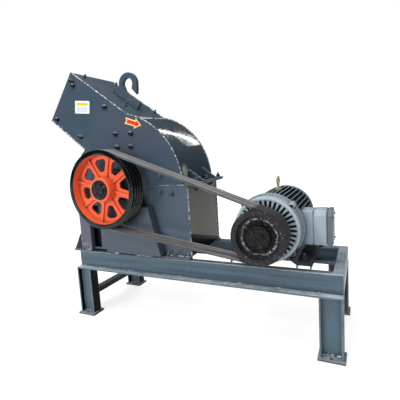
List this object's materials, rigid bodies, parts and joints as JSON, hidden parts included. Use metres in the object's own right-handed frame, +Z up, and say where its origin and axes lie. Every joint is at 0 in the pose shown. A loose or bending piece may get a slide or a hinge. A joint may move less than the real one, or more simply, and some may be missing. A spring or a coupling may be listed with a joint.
{
  "type": "belt-driven hammer crusher on a steel stand",
  "caption": "Hammer crusher with sloping feed chute and curved rear cover on an I-beam stand, its rotor driven by V-belts from a foot-mounted finned motor.",
  "frame": {"origin": "on the floor, at the centre of the four anchor bolt holes of the stand", "axes": "+X along the stand from the feed end to the motor, +Y from the belt side to the back, +Z up"},
  "size_m": [1.8861, 0.7765, 1.6432],
  "materials": {
    "housing_paint": "gloss enamel, slate blue-grey",
    "stand_paint": "semi-gloss enamel, blue-grey",
    "motor_paint": "satin enamel, light blue-grey",
    "box_paint": "satin enamel, pale blue-grey",
    "wheel_paint": "gloss enamel, orange-red",
    "black_paint": "gloss enamel, black",
    "belt_rubber": "dusty rubber, grey",
    "shaft_steel": "turned steel",
    "cast_steel": "rough cast",
    "eye_zinc": "cream paint"
  },
  "bodies": {
    "machine": {"upper_side_front": "housing_paint", "upper_side_back": "housing_paint", "top_plate": "housing_paint", "feed_floor": "housing_paint", "rear_cover": "housing_paint", "lower_side_front": "housing_paint", "lower_side_back": "housing_paint", "lower_wall_feed": "housing_paint", "lower_wall_rear": "housing_paint", "parting_flange_upper": "housing_paint", "parting_flange_lower": "housing_paint", "lifting_hook": "housing_paint", "feet_front": "housing_paint", "feet_back": "housing_paint", "pedestal_front": "housing_paint", "pedestal_back": "housing_paint", "beam_front": "stand_paint", "beam_back": "stand_paint", "end_beam_left": "stand_paint", "end_beam_right": "stand_paint", "sills": "stand_paint", "leg_front_left": "stand_paint", "leg_front_right": "stand_paint", "leg_back_left": "stand_paint", "leg_back_right": "stand_paint", "leg_braces": "stand_paint", "motor_rails": "stand_paint", "bearing_front": "black_paint", "bearing_back": "black_paint", "motor_frame": "motor_paint", "motor_endshield": "motor_paint", "fan_cowl": "motor_paint", "motor_feet": "motor_paint", "terminal_box": "box_paint", "motor_eyebolt": "eye_zinc", "drive_belts": "belt_rubber"},
    "rotor": {"rotor_shaft": "shaft_steel", "rotor_discs": "cast_steel", "hammers": "cast_steel", "drive_sheave": "wheel_paint", "sheave_bush": "black_paint"},
    "motor_rotor": {"motor_shaft": "shaft_steel", "motor_sheave": "black_paint"}
  },
  "joints": [
    {"name": "rotor_spin", "type": "hinge", "parent": "machine", "child": "rotor", "pos_m": [-0.485, 0, 0.883], "axis": [0, 1, 0], "continuous": true},
    {"name": "motor_spin", "type": "hinge", "parent": "machine", "child": "motor_rotor", "pos_m": [0.47, 0, 0.64], "axis": [0, 1, 0], "continuous": true}
  ],
  "couplings": [
    {"joint": "motor_spin", "follows": "rotor_spin", "ratio": 1.737}
  ]
}
